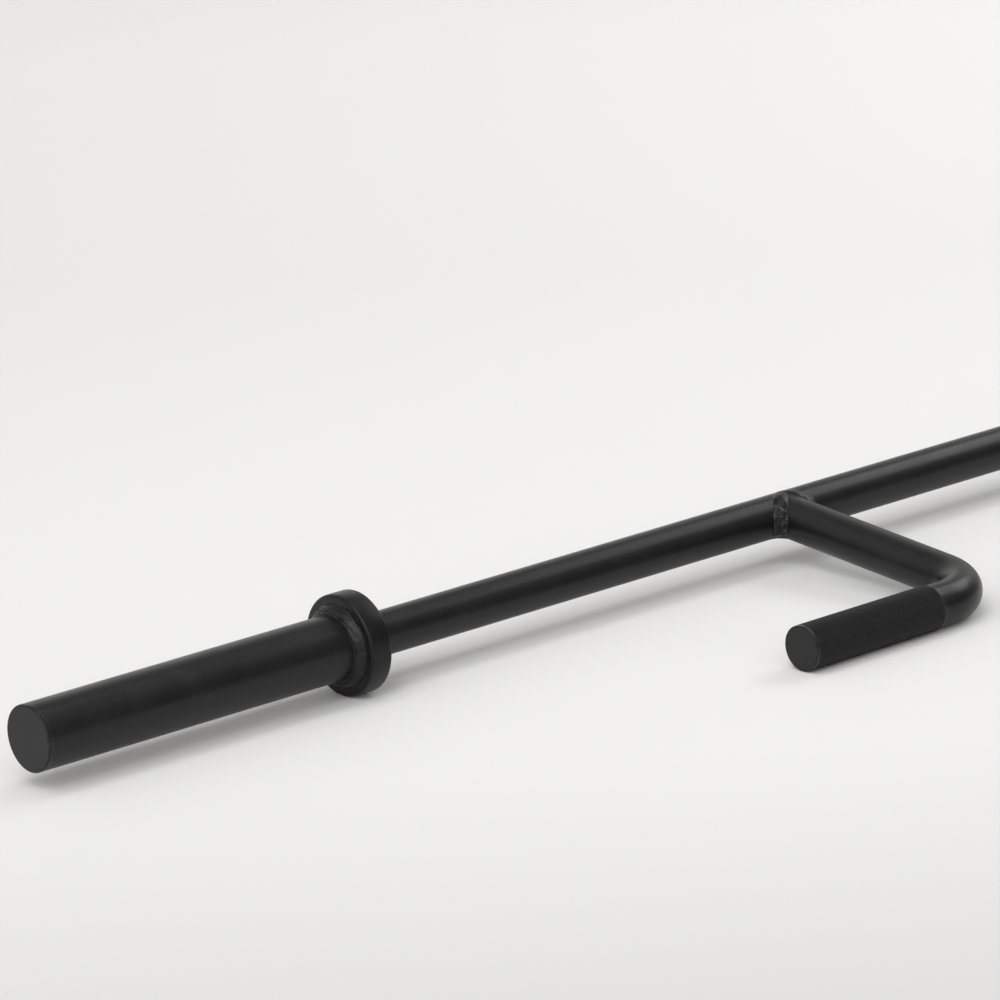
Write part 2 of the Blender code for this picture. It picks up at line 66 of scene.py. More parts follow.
# The bar's finish details, with lengths in metres
EDGE_ROUND = 0.0006
SLEEVE_EDGE_ROUND = 0.0010
GRIP_EDGE_ROUND = 0.0007
COLLAR_ROUND = 0.0022
# A ring just inside each end's rim keeps the lightened edge on the rim. That edge is partly wear
# and partly a painted highlight.
WEAR_AND_HIGHLIGHT_BAND = 0.0016
BEND_RADIUS = 0.042
TUBE_WALL = 0.0032
KNURL_AROUND = 72
KNURL_DEPTH = 0.00055
KNURL_ANGLE = math.radians(30)

# Softened edges of the pivot's plates, tube and bushes
PLATE_EDGE = 0.0012
SOFT_EDGE_STEPS = 3
SOFT_EDGE_ANGLE = math.radians(35)

# Weld beads: legs, how far borders are sunk, fullness or hollowness, and ripples
HANDLE_WELD_LEG = 0.0078
HANDLE_WELD_HOLLOW = 0.14
PIVOT_WELD_LEG = 0.0055
PIVOT_WELD_HOLLOW = -0.12
FOOT_WELD_LEG = 0.0042
FOOT_RIPPLE_PITCH = 0.0024
WELD_ROOT = 0.0008
BEAD_FULLNESS = 0.13
RIPPLE_LEVEL = 0.6
SLEEVE_RIPPLES = 48
SLEEVE_WELD_RIPPLE = 0.00046
BACK_RIPPLES = 40
BACK_WELD_RIPPLE = 0.0003

# A ring weld's streaks: noise scales across and round the bead, and the share of each part
RING_WANDER_SCALE = 2.6
STREAK_SCALES = (11.0, 2.4)
FINE_STREAK_SCALES = (23.0, 6.0)
RIPPLE_SLANT = 0.25
BORDER_RAMP = 5
RIPPLE_SHARE = 0.15
STREAK_SHARE = 0.8
FINE_STREAK_SHARE = 0.9
SWELL_EACH_WAY = 0.7

# A saddle weld's leg and bulge: how much they wander, sag and crown, as shares of the leg
SADDLE_LEAN = Vector((0, 0.12, 0))
SADDLE_WANDER_SCALE = 1.7
SADDLE_RAGGED_SCALE = 5.0
LEG_WANDER = 0.16
LEG_RAGGED = 0.10
LEG_SAG = 0.18
CROWN_BULGE = 0.62
BULGE_WANDER = 0.3
GRAIN_SCALE = 300.0
GRAIN_HEIGHT = 0.00020
FINE_GRAIN_SCALE = 900.0
FINE_GRAIN_HEIGHT = 0.00006

# Spatter on the -X side of the handle's weld: where round the tube, how far, and its lumps
SPATTER_MIDDLE = 3.10
SPATTER_HALF_WIDTH = 0.62
SPATTER_HEIGHT = 0.0021
SPATTER_SCALE = 215.0
SPATTER_LEVEL = 0.08
SPATTER_FULL = 0.42

# The ears' foot welds: how thin they start, how they swell, ripple and wander
FOOT_THIN = 0.004
FOOT_SWELL = 0.5
FOOT_RIPPLE = 0.05
FOOT_WANDER = 0.10
FOOT_WANDER_SCALE = 160.0

# Fasteners: radii, hexagons across flats, heads, the lock nut's crown, and threads
WASHER_BORES = {"floor_washer": 0.0063, "pin_washer": 0.0083, "king": 0.0103}
BOLT_RADIUS = 0.006
BOLT_HEX = 0.019
BOLT_HEAD_HEIGHT = 0.0075
BOLT_PITCH = 0.00175
PIN_RADIUS = 0.008
PIN_HEX = 0.024
PIN_HEAD_HEIGHT = 0.010
PIN_PITCH = 0.002
PIN_TIP_CHAMFER = 0.0012
CROWN_RADIUS = PIN_HEX * 0.46
CROWN_HEIGHT = 0.003
CROWN_ROUND = 0.001
KING_RADIUS = 0.010
KING_HEX = 0.030
KING_PITCH = 0.0025
KING_TIP_CHAMFER = 0.0015
HEX_CHAMFER_ANGLE = math.radians(30)
HEX_TURNED_SHARE = 0.97
THREAD_DEPTH_SHARE = 0.61
THREAD_CREST = 0.25
ROWS_PER_TURN = 8

# Powder coat: scales of its noises, its orange peel, where dust shows, and where edges are
# lightened, partly as wear and partly as a painted highlight
NOISE_RANGE = (0.3, 0.7)
MOTTLE_SCALE = 38.0
SPECKLE_SCALE = 620.0
PEEL_SCALE = 900.0
PEEL_DEPTH = 0.0002
FINE_PEEL_SCALE = 3200.0
FINE_PEEL_DEPTH = 0.00008
FINE_PEEL_SHARE = 0.8
DUST_SLOPE = (0.55, 1.0)
DUST_RANGE = (0.55, 0.75)
DUST_TONE = (0.16, 0.155, 0.15)
# Where edges are lightened: partly rubbed wear, partly a painted highlight along rims and ridges
RUBBED_AND_HIGHLIGHT_EDGE = (0.53, 0.60)
RUBBED_AND_HIGHLIGHT_RANGE = (0.4, 0.65)
BARE_AND_HIGHLIGHT_BLUE = 1.02

# Plated steel and bronze: cloud, grime and fine scratches
CLOUD_SCALE = 160.0
GRIME_SCALE = 420.0
GRIME_RANGE = (0.5, 0.8)
GRIME_SHARE = 0.6
GRIME_TONE = (0.10, 0.095, 0.085)
SCRATCH_SCALE = 700.0
SCRATCH_STRETCH = (1.0, 1.0, 14.0)
SCRATCH_STRENGTH = 0.15
SCRATCH_DEPTH = 0.0001

# Nylon
NYLON_TONE_SCALE = 220.0
NYLON_DULL_SCALE = 500.0
NYLON_ROUGHNESS = (0.5, 0.66)
NYLON_GRAIN_SCALE = 1800.0
NYLON_GRAIN = 0.2
NYLON_GRAIN_DEPTH = 0.0001

# Dark and pale tone of each finish
BLACK_TONES = ((0.0052, 0.0052, 0.0053), (0.0080, 0.0080, 0.0082))
KNURL_TONES = ((0.0050, 0.0050, 0.0052), (0.0075, 0.0075, 0.0078))
BASE_TONES = ((0.0080, 0.0080, 0.0083), (0.0120, 0.0120, 0.0123))
# The collar: the black coat's tones darkened as painted shade
COLLAR_SHADED_TONES = ((0.0034, 0.0034, 0.0035), (0.0058, 0.0058, 0.0060))
# The welds: the black coat's tones a little paler, as painted highlight
WELD_HIGHLIGHT_TONES = ((0.0052, 0.0052, 0.0053), (0.0085, 0.0085, 0.0087))
ZINC_TONES = ((0.46, 0.47, 0.49), (0.60, 0.60, 0.59))
BRONZE_TONES = ((0.42, 0.26, 0.11), (0.58, 0.39, 0.19))
NYLON_TONES = ((0.012, 0.012, 0.012), (0.022, 0.022, 0.022))

# Sockets of the shader nodes
RANGE_SOCKETS = ("From Min", "From Max", "To Min", "To Max")
COLOUR_INPUTS = (6, 7)
COLOUR_OUTPUT = 2

# The photograph's camera
CAMERA_PLACE = Vector((-4.0829, -3.5003, 1.3918))
CAMERA_YAW = math.radians(50.351)
CAMERA_PITCH = math.radians(15.711)
CAMERA_ROLL = math.radians(-3.361)
CAMERA_CLIP = 100.0
FOCAL_IN_FRAMES = 6.3627
SENSOR = 36.0

# The room's light: from and to a height or side, low and high brightness
ROOM_COLOUR = (1.0, 0.995, 0.985, 1.0)
ROOM_CLIMB = (0.12, 0.65, 0.42, 1.05)
ZENITH_FADE = (0.72, 0.92, 1.0, 0.35)
ROOM_SIDE = (0.28, 0.62, 0.40, 2.05)
BRIGHT_SIDE = Vector((-0.707, -0.707, 0.0))
WALL_RANGE = (0.25, 0.80, 0.0, 0.40)
WALL_SIDE = Vector((-0.707, 0.707, 0.0))

# The lamps: a soft key, a strip over the bar and a softbox over the pivot
KEY_FROM = Vector((-0.50, -0.38, 0.78))
KEY_SPREAD = math.radians(22)
KEY_STRENGTH = 0.42
STRIP_PLACE = (-1.9, 0.0, 2.4)
STRIP_AIM = (-1.9, 0.0, 0.0)
STRIP_LENGTH = 3.2
STRIP_WIDTH = 0.8
STRIP_POWER = 17.0
TOP_RIGHT_PLACE = (1.85, -0.15, 2.3)
TOP_RIGHT_AIM = (0.95, -0.1, 0.0)
TOP_RIGHT_WIDTH = 1.5
TOP_RIGHT_DEPTH = 2.3
TOP_RIGHT_POWER = 34.0

# The floor and the backdrop that it sweeps up into, in metres along the camera's view
FLOOR_BACK = -12.0
FLOOR_REACH = 14.0
FLOOR_HALF_WIDTH = 14.0
SWEEP_RADIUS = 4.0
SWEEP_STEPS = 16
BACKDROP_RISE = 7.0

# The floor's tones from the camera outwards and at its right, and where each takes over. They are
# painted shade near the camera, on the band that the strip lamp lights and at the right under the
# top-right lamp, and painted light beyond
FLOOR_NEAR_SHADE = (0.660, 0.658, 0.655)
FLOOR_MIDDLE = (0.792, 0.790, 0.787)
FLOOR_FAR_SHADE = (0.762, 0.760, 0.757)
FLOOR_BEYOND_LIT = (0.822, 0.820, 0.817)
FLOOR_RIGHT_SHADE = (0.600, 0.599, 0.597)
MIDDLE_FROM = (-1.75, -1.05)
FAR_FROM = (-0.7, 0.5)
BEYOND_FROM = (0.4, 1.5)
RIGHT_FROM = (0.20, -0.50)
FLOOR_MOTTLE_SCALE = 1.5
FLOOR_MOTTLE = 0.1
FLOOR_ROUGHNESS = 0.75
FLOOR_SPECULAR = 0.2


def span(node):
    """A CAD node's middle and its size."""
    low, high = (Vector(corner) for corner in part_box(node))
    return (low + high) / 2, high - low


SHAFT_MIDDLE, SHAFT_SIZE = span("shaft_tube")
AXIS_Z = SHAFT_MIDDLE.z
SHAFT_RADIUS = SHAFT_SIZE.z / 2


# Mesh helpers
def new_piece(name, vertices, faces, smooth=True, sharp_angle=None):
    """An object from vertices and faces, with its normals outward."""
    mesh = bpy.data.meshes.new(name)
    mesh.from_pydata([tuple(v) for v in vertices], [], faces)
    mesh.validate()
    shape = bmesh.new()
    shape.from_mesh(mesh)
    bmesh.ops.recalc_face_normals(shape, faces=shape.faces)
    shape.to_mesh(mesh)
    shape.free()
    for polygon in mesh.polygons:
        polygon.use_smooth = smooth
    if sharp_angle is not None:
        mesh.set_sharp_from_angle(angle=sharp_angle)
    piece = bpy.data.objects.new(name, mesh)
    bpy.context.scene.collection.objects.link(piece)
    return piece


def grid_faces(rows, columns, wrap_rows=False, wrap_columns=True):
    """Quads of a grid of points, row by row."""
    faces = []
    row_count = rows if wrap_rows else rows - 1
    column_count = columns if wrap_columns else columns - 1
    for row in range(row_count):
        for column in range(column_count):
            next_row = (row + 1) % rows
            next_column = (column + 1) % columns
            faces.append(
                (
                    row * columns + column,
                    row * columns + next_column,
                    next_row * columns + next_column,
                    next_row * columns + column,
                )
            )
    return faces


def fillet(points, radii, steps=5, closed=True):
    """A polygon in two dimensions with its corners rounded."""
    rounded = []
    count = len(points)
    for index, radius in enumerate(radii):
        here = Vector(points[index])
        if radius == 0 or (not closed and index in (0, count - 1)):
            rounded.append(here)
            continue
        back = (Vector(points[index - 1]) - here).normalized()
        ahead = (Vector(points[(index + 1) % count]) - here).normalized()
        half = back.angle(ahead) / 2
        reach = radius / math.tan(half)
        centre = here + (back + ahead).normalized() * (radius / math.sin(half))
        start = here + back * reach - centre
        end = here + ahead * reach - centre
        turn = start.angle_signed(end)
        for step in range(steps + 1):
            angle = -turn * step / steps
            rotated = Matrix.Rotation(angle, 2) @ start
            rounded.append(centre + rotated)
    return rounded


def axis_matrix(origin, direction):
    """A frame whose Z runs along a direction."""
    turn = Vector((0, 0, 1)).rotation_difference(Vector(direction))
    return Matrix.Translation(Vector(origin)) @ turn.to_matrix().to_4x4()


def revolve(name, profile, segments, matrix, closed=True, warp=None, sharp_angle=None):
    """A profile of (radius, height) points turned round Z; ends at radius 0 become poles."""
    vertices = []
    faces = []
    rows = []
    for radius, height in profile:
        if radius < TINY:
            rows.append([len(vertices)])
            vertices.append(matrix @ Vector((0, 0, height)))
            continue
        row = []
        for segment in range(segments):
            angle = 2 * math.pi * segment / segments
            r, h = (radius, height) if warp is None else warp(radius, height, angle)
            row.append(len(vertices))
            vertices.append(matrix @ Vector((r * math.cos(angle), r * math.sin(angle), h)))
        rows.append(row)
    pairs = list(zip(rows, rows[1:]))
    if closed:
        pairs.append((rows[-1], rows[0]))
    for first, second in pairs:
        for segment in range(segments):
            after = (segment + 1) % segments
            corners = [first[segment % len(first)], first[after % len(first)]]
            corners += [second[after % len(second)], second[segment % len(second)]]
            faces.append(tuple(dict.fromkeys(corners)))
    return new_piece(name, vertices, [f for f in faces if len(f) > 2], sharp_angle=sharp_angle)


def ring_section(outer, inner, bottom, top, rounding):
    """The profile of a ring with its outer corners rounded."""
    points = [(outer, top), (outer, bottom), (inner, bottom), (inner, top)]
    return fillet(points, [rounding, rounding, 0, 0])


def finish_piece(piece, body, slot, material, *nodes):
    """Put a piece on its body with its material, over the CAD nodes that it stands for; the slot is
    not used.
    """
    piece.data.materials.clear()
    piece.data.materials.append(material)
    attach(piece, body)
    if nodes:
        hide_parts(*nodes)


def rough(place, scale, seed):
    """Smooth noise from -1 to 1 at a place, with features of about 1/scale."""
    shift = Vector((seed, seed * SEED_Y, seed * SEED_Z))
    return noise.noise(Vector(place) * scale + shift)


# Materials
class Nodes:
    """A small helper that makes and links shader nodes."""

    def __init__(self, name):
        self.material = bpy.data.materials.new(name)
        self.material.use_nodes = True
        self.tree = self.material.node_tree
        self.shader = self.tree.nodes["Principled BSDF"]
        self.place = self.add("ShaderNodeTexCoord").outputs["Object"]

    def add(self, kind, **settings):
        node = self.tree.nodes.new(kind)
        for key, value in settings.items():
            setattr(node, key, value)
        return node

    def link(self, output, socket):
        self.tree.links.new(output, socket)

    def noise(self, scale, detail=2.0, roughness=0.5, place=None):
        node = self.add("ShaderNodeTexNoise")
        node.inputs["Scale"].default_value = scale
        node.inputs["Detail"].default_value = detail
        node.inputs["Roughness"].default_value = roughness
        self.link(self.place if place is None else place, node.inputs["Vector"])
        return node.outputs["Fac"]

    def remap(self, value, low, high, to_low=0.0, to_high=1.0):
        node = self.add("ShaderNodeMapRange")
        for key, number in zip(RANGE_SOCKETS, (low, high, to_low, to_high)):
            node.inputs[key].default_value = number
        self.link(value, node.inputs["Value"])
        return node.outputs["Result"]

    def combine(self, operation, first, second):
        node = self.add("ShaderNodeMath", operation=operation)
        self.link(first, node.inputs[0])
        self.link(second, node.inputs[1])
        return node.outputs[0]

    def mix(self, factor, first, second):
        """A colour between two colours or sockets."""
        node = self.add("ShaderNodeMix", data_type="RGBA")
        self.link(factor, node.inputs["Factor"])
        for value, index in zip((first, second), COLOUR_INPUTS):
            socket = node.inputs[index]
            if isinstance(value, tuple):
                socket.default_value = (*value, 1.0)
            else:
                self.link(value, socket)
        return node.outputs[COLOUR_OUTPUT]

    def bump(self, height, strength, distance, after=None):
        node = self.add("ShaderNodeBump")
        node.inputs["Strength"].default_value = strength
        node.inputs["Distance"].default_value = distance
        self.link(height, node.inputs["Height"])
        if after is not None:
            self.link(after, node.inputs["Normal"])
        return node.outputs["Normal"]

    def edges(self, low, high):
        """How much an edge stands out, from 0 to 1."""
        pointiness = self.add("ShaderNodeNewGeometry").outputs["Pointiness"]
        return self.remap(pointiness, low, high)

    def facing_up(self, low, high):
        """How far a surface faces up, from 0 to 1."""
        normal = self.add("ShaderNodeNewGeometry").outputs["Normal"]
        parts = self.add("ShaderNodeSeparateXYZ")
        self.link(normal, parts.inputs[0])
        return self.remap(parts.outputs["Z"], low, high)


def powder_coat(name, tones, roughness, grain, wear_and_highlight, dust=0.10, specular=0.29, bare_and_highlight=0.11):
    """Satin powder coat: fine orange peel, slow mottle, a little dust, and edges lightened partly
    as rubbed wear and partly as a painted highlight.
    """
    nodes = Nodes(name)
    mottle = nodes.noise(MOTTLE_SCALE, detail=4.0, roughness=0.6)
    speckle = nodes.noise(SPECKLE_SCALE, detail=3.0, roughness=0.6)
    colour = nodes.mix(nodes.remap(mottle, *NOISE_RANGE), *tones)
    dusty = nodes.remap(speckle, *DUST_RANGE, 0.0, dust)
    lying = nodes.combine("MULTIPLY", nodes.facing_up(*DUST_SLOPE), dusty)
    colour = nodes.mix(lying, colour, DUST_TONE)
    # Edges lightened by pointiness: partly rubbed wear, partly a painted highlight along rims and
    # ridges
    worn_and_highlit = nodes.remap(speckle, *RUBBED_AND_HIGHLIGHT_RANGE, 0.0, wear_and_highlight)
    rubbed_and_highlit = nodes.combine("MULTIPLY", nodes.edges(*RUBBED_AND_HIGHLIGHT_EDGE), worn_and_highlit)
    colour = nodes.mix(rubbed_and_highlit, colour, (bare_and_highlight, bare_and_highlight, bare_and_highlight * BARE_AND_HIGHLIGHT_BLUE))
    nodes.link(colour, nodes.shader.inputs["Base Color"])
    nodes.link(nodes.remap(mottle, *NOISE_RANGE, *roughness), nodes.shader.inputs["Roughness"])
    peel = nodes.bump(nodes.noise(PEEL_SCALE), grain, PEEL_DEPTH)
    fine_noise = nodes.noise(FINE_PEEL_SCALE, roughness=0.6)
    fine = nodes.bump(fine_noise, grain * FINE_PEEL_SHARE, FINE_PEEL_DEPTH, peel)
    nodes.link(fine, nodes.shader.inputs["Normal"])
    nodes.shader.inputs["Specular IOR Level"].default_value = specular
    return nodes.material


def plated_steel(name, tones, roughness):
    """Zinc plate or bronze: cloudy, with fine scratches, and grimy where it faces up."""
    nodes = Nodes(name)
    cloud = nodes.noise(CLOUD_SCALE, detail=4.0, roughness=0.6)
    colour = nodes.mix(nodes.remap(cloud, *NOISE_RANGE), *tones)
    dirt = nodes.noise(GRIME_SCALE, detail=5.0, roughness=0.7)
    dirty = nodes.remap(dirt, *GRIME_RANGE, 0.0, GRIME_SHARE)
    grime = nodes.combine("MULTIPLY", dirty, nodes.facing_up(-1.0, 1.0))
    colour = nodes.mix(grime, colour, GRIME_TONE)
    nodes.link(colour, nodes.shader.inputs["Base Color"])
    nodes.link(nodes.remap(cloud, *NOISE_RANGE, *roughness), nodes.shader.inputs["Roughness"])
    nodes.shader.inputs["Metallic"].default_value = 1.0
    stretch = nodes.add("ShaderNodeMapping")
    stretch.inputs["Scale"].default_value = SCRATCH_STRETCH
    nodes.link(nodes.place, stretch.inputs["Vector"])
    scratch = nodes.noise(SCRATCH_SCALE, detail=3.0, place=stretch.outputs["Vector"])
    scratched = nodes.bump(scratch, SCRATCH_STRENGTH, SCRATCH_DEPTH)
    nodes.link(scratched, nodes.shader.inputs["Normal"])
    return nodes.material


def plain_nylon(name, tones):
    """Nylon with a slightly uneven tone and a fine grain."""
    nodes = Nodes(name)
    colour = nodes.mix(nodes.noise(NYLON_TONE_SCALE, detail=3.0), *tones)
    nodes.link(colour, nodes.shader.inputs["Base Color"])
    dull = nodes.remap(nodes.noise(NYLON_DULL_SCALE), *NOISE_RANGE, *NYLON_ROUGHNESS)
    nodes.link(dull, nodes.shader.inputs["Roughness"])
    grain = nodes.bump(nodes.noise(NYLON_GRAIN_SCALE), NYLON_GRAIN, NYLON_GRAIN_DEPTH)
    nodes.link(grain, nodes.shader.inputs["Normal"])
    return nodes.material


# wear_and_highlight and bare_and_highlight set how far edges are lightened, partly as wear and
# partly as a painted highlight
BLACK_COAT = powder_coat("black_coat", BLACK_TONES, (0.28, 0.36), grain=0.30, wear_and_highlight=0.30)
KNURL_COAT = powder_coat("knurled_coat", KNURL_TONES, (0.42, 0.52), grain=0.15, wear_and_highlight=0.12)
BASE_COAT = powder_coat(
    "base_coat", BASE_TONES, (0.38, 0.48), grain=0.35, wear_and_highlight=0.14, dust=0.035
)
PIVOT_COAT = powder_coat("pivot_coat", BLACK_TONES, (0.28, 0.36), grain=0.30, wear_and_highlight=0.04)
# The collar's coat: the black coat painted darker all over, as painted shade for the shade on its
# face beside the bead. It has a strong painted highlight on its rounded edges.
COLLAR_SHADED_COAT = powder_coat(
    "collar_shaded_coat", COLLAR_SHADED_TONES, (0.30, 0.40), grain=0.30, wear_and_highlight=0.60, specular=0.24, bare_and_highlight=0.13
)
# The welds' coat: slightly paler tones and strongly lightened ridges, as a painted highlight on the
# beads' streaks and lumps, partly rubbed wear
WELD_HIGHLIGHT_COAT = powder_coat(
    "weld_highlight_coat", WELD_HIGHLIGHT_TONES, (0.26, 0.35), grain=0.30, wear_and_highlight=0.95, dust=0.05, bare_and_highlight=0.17
)
ZINC = plated_steel("zinc_steel", ZINC_TONES, (0.26, 0.40))
BRONZE = plated_steel("bronze", BRONZE_TONES, (0.30, 0.46))
NYLON = plain_nylon("nylon", NYLON_TONES)


# Weld beads
def ring_bead(name, inner, leg, matrix, ripples, height, seed):
    """A slightly bulging fillet weld on a flat face at height 0, streaked round its length."""
    steps = 26
    segments_per_ripple = 6
    profile = [(inner + leg, -WELD_ROOT)]
    for step in range(steps + 1):
        share = step / steps
        swell = leg * BEAD_FULLNESS * 4 * share * (1 - share)
        profile.append((inner + leg * (1 - share) + swell, leg * share + swell))
    profile += [(inner - WELD_ROOT, leg), (inner - WELD_ROOT, -WELD_ROOT)]

    def warp(radius, up, angle):
        if radius <= inner or up <= 0:
            return radius, up
        share = up / (up + radius - inner)
        cosine = math.cos(angle)
        sine = math.sin(angle)
        wander = rough((cosine, sine, 0.0), RING_WANDER_SCALE, seed)
        across, around = STREAK_SCALES
        streak = rough((share * across, cosine * around, sine * around), 1.0, seed)
        across, around = FINE_STREAK_SCALES
        fine = rough((share * across, cosine * around, sine * around), 1.0, seed + 4.0)
        ripple = abs(math.sin((angle + RIPPLE_SLANT * share) * ripples / 2)) - RIPPLE_LEVEL
        edge = min(1.0, BORDER_RAMP * share, BORDER_RAMP * (1 - share))
        streaks = RIPPLE_SHARE * ripple + STREAK_SHARE * wander + STREAK_SHARE * streak
        swell = edge * height * (streaks + FINE_STREAK_SHARE * fine) * SWELL_EACH_WAY
        return radius + swell, up + swell

    segments = segments_per_ripple * ripples
    return revolve(name, profile, segments, matrix, warp=warp, sharp_angle=SHARP_BEAD)


def saddle_bead(name, around, across, leg, matrix, hollow, spatter, seed):
    """A weld fillet where a tube along -Y meets one along X, with spatter on its -X side."""
    steps = 320
    across_steps = 24
    vertices = []
    for step in range(steps):
        angle = 2 * math.pi * step / steps
        cosine = math.cos(angle)
        sine = math.sin(angle)
        y = -math.sqrt(max(across ** 2 - (around * sine) ** 2, 0.0))
        corner = Vector((around * cosine, y, around * sine))
        tube_out = Vector((cosine, 0, sine))
        shaft_out = Vector((0, y, corner.z)).normalized()
        spread = tube_out - shaft_out * tube_out.dot(shaft_out) + SADDLE_LEAN
        wander = rough((cosine, sine, 0.0), SADDLE_WANDER_SCALE, seed)
        ragged = rough((cosine, sine, 0.0), SADDLE_RAGGED_SCALE, seed)
        sag = max(-sine, 0.0)
        size = leg * (1 + LEG_WANDER * wander + LEG_RAGGED * ragged + LEG_SAG * sag)
        on_shaft = corner + spread.normalized() * size
        turn = math.atan2(on_shaft.z, -on_shaft.y)
        on_shaft.y = -across * math.cos(turn)
        on_shaft.z = across * math.sin(turn)
        on_tube = corner + Vector((0, -size, 0))
        outward = (tube_out + shaft_out).normalized()
        off_middle = min(abs(angle - SPATTER_MIDDLE) / SPATTER_HALF_WIDTH, 1.0)
        nearness = math.cos(off_middle * math.pi / 2)
        crown = max(sine, 0.0) ** 2
        bulge = leg * (CROWN_BULGE * crown - hollow * (1 - crown)) * (1 + BULGE_WANDER * wander)
        peak = (on_shaft + on_tube) / 2 + outward * bulge
        for part in range(across_steps):
            share = part / (across_steps - 1)
            point = on_shaft * (1 - share) ** 2 + peak * (2 * share * (1 - share))
            point += on_tube * share ** 2
            edge = math.sqrt(4 * share * (1 - share))
            grain = rough(point, GRAIN_SCALE, seed + 7.0) * GRAIN_HEIGHT
            grain += rough(point, FINE_GRAIN_SCALE, seed) * FINE_GRAIN_HEIGHT
            clump = rough(point, SPATTER_SCALE, seed + 2.0) + SPATTER_LEVEL
            grown = min(max(clump, 0.0) / SPATTER_FULL, 1.0)
            lump = spatter * nearness * (1 - (1 - grown) ** 2)
            sunk = WELD_ROOT if part in (0, across_steps - 1) else 0.0
            vertices.append(matrix @ (point + outward * (edge * (grain + lump) - sunk)))
        vertices.append(matrix @ (corner - outward * 2 * WELD_ROOT))
    faces = grid_faces(steps, across_steps + 1, wrap_rows=True)
    return new_piece(name, vertices, faces, sharp_angle=SHARP_BEAD)


def foot_bead(name, start, end, out, seed):
    """A rippled fillet weld along the foot of an upright plate, thinning to nothing at its ends."""
    across_steps = 10
    steps_per_ripple = 8
    length = (end - start).length
    steps = steps_per_ripple * round(length / FOOT_RIPPLE_PITCH)
    vertices = []
    for step in range(steps + 1):
        share = step / steps
        from_end = min(share, 1 - share) * length / FOOT_WELD_LEG
        taper = math.sqrt(max(1 - (1 - min(from_end, 1.0)) ** 2, FOOT_THIN))
        ripple = abs(math.sin(math.pi * share * length / FOOT_RIPPLE_PITCH)) - RIPPLE_LEVEL
        wander = rough((share * length * FOOT_WANDER_SCALE, 0.0, 0.0), 1.0, seed)
        size = FOOT_WELD_LEG * taper * (1 + FOOT_RIPPLE * ripple + FOOT_WANDER * wander)
        root = start + (end - start) * share
        for part in range(across_steps):
            across = part / (across_steps - 1)
            swell = FOOT_SWELL * across * (1 - across)
            up = Vector((0, 0, size * (across + swell)))
            vertices.append(root + out * size * (1 - across + swell) + up)
        vertices.append(root - (out + Vector((0, 0, 1))) * WELD_ROOT)
    columns = across_steps + 1
    faces = grid_faces(steps + 1, columns)
    faces.append(tuple(range(columns)))
    faces.append(tuple(range(steps * columns, (steps + 1) * columns)))
    return new_piece(name, vertices, faces, sharp_angle=SHARP_BEAD)


# The bar: sleeve, cap, collar, shaft and their welds
def build_sleeve():
    """The sleeve and its end cap, the collar, and the beads on the collar's two faces."""
    cap_middle, cap_size = span("sleeve_end_cap")
    collar_middle, collar_size = span("collar_flange")
    sleeve_middle, sleeve_size = span("loading_sleeve")
    tip = cap_middle.x - cap_size.x / 2
    radius = sleeve_size.z / 2
    seam = sleeve_middle.x - sleeve_size.x / 2
    collar_face = collar_middle.x - collar_size.x / 2
    along = axis_matrix((tip, 0, AXIS_Z), (1, 0, 0))
    bore = SHAFT_RADIUS + EDGE_ROUND / 2

    cap_back = seam - tip
    section = [(0, 0), (radius - WEAR_AND_HIGHLIGHT_BAND, 0), (radius, 0), (radius, WEAR_AND_HIGHLIGHT_BAND)]
    section += [(radius, cap_back), (0, cap_back)]
    rounded = fillet(section, [0, 0, SLEEVE_EDGE_ROUND, 0, 0, 0], closed=False)
    cap = revolve("end_cap_face", rounded, FINE, along, closed=False, sharp_angle=SHARP_TURNED)
    finish_piece(cap, "lever", "black_coat", BLACK_COAT, "sleeve_end_cap")

    sleeve_end = collar_face - tip
    outer = [(radius, sleeve_end), (radius, sleeve_end - EDGE_ROUND)]
    rows = 12
    for row in range(1, rows):
        outer.append((radius, sleeve_end + (cap_back - sleeve_end) * row / rows))
    outer += [(radius, cap_back + EDGE_ROUND / 4), (radius, cap_back)]
    section = outer + [(bore, cap_back), (bore, sleeve_end)]
    sleeve = revolve("sleeve_surface", section, FINE, along, sharp_angle=SHARP_TURNED)
    finish_piece(sleeve, "lever", "black_coat", BLACK_COAT, "loading_sleeve")

    collar_radius = collar_size.z / 2
    face = axis_matrix((collar_face, 0, AXIS_Z), (1, 0, 0))
    section = ring_section(collar_radius, bore, 0, collar_size.x, COLLAR_ROUND)
    collar = revolve("collar_ring", section, FINE, face, sharp_angle=SHARP_TURNED)
    finish_piece(collar, "lever", "black_coat", COLLAR_SHADED_COAT, "collar_flange")

    leg = span("sleeve_weld")[1].z / 2 - radius
    bead_back = axis_matrix((collar_face, 0, AXIS_Z), (-1, 0, 0))
    bead = ring_bead(
        "sleeve_bead", radius, leg, bead_back, SLEEVE_RIPPLES, SLEEVE_WELD_RIPPLE, seed=3.0
    )
    finish_piece(bead, "lever", "black_coat", WELD_HIGHLIGHT_COAT, "sleeve_weld")

    back_face = collar_middle.x + collar_size.x / 2
    bead_front = axis_matrix((back_face, 0, AXIS_Z), (1, 0, 0))
    leg = span("shaft_weld")[1].z / 2 - SHAFT_RADIUS
    back = ring_bead(
        "collar_back_bead", SHAFT_RADIUS, leg, bead_front, BACK_RIPPLES, BACK_WELD_RIPPLE, seed=8.0
    )
    finish_piece(back, "lever", "black_coat", BLACK_COAT, "shaft_weld")


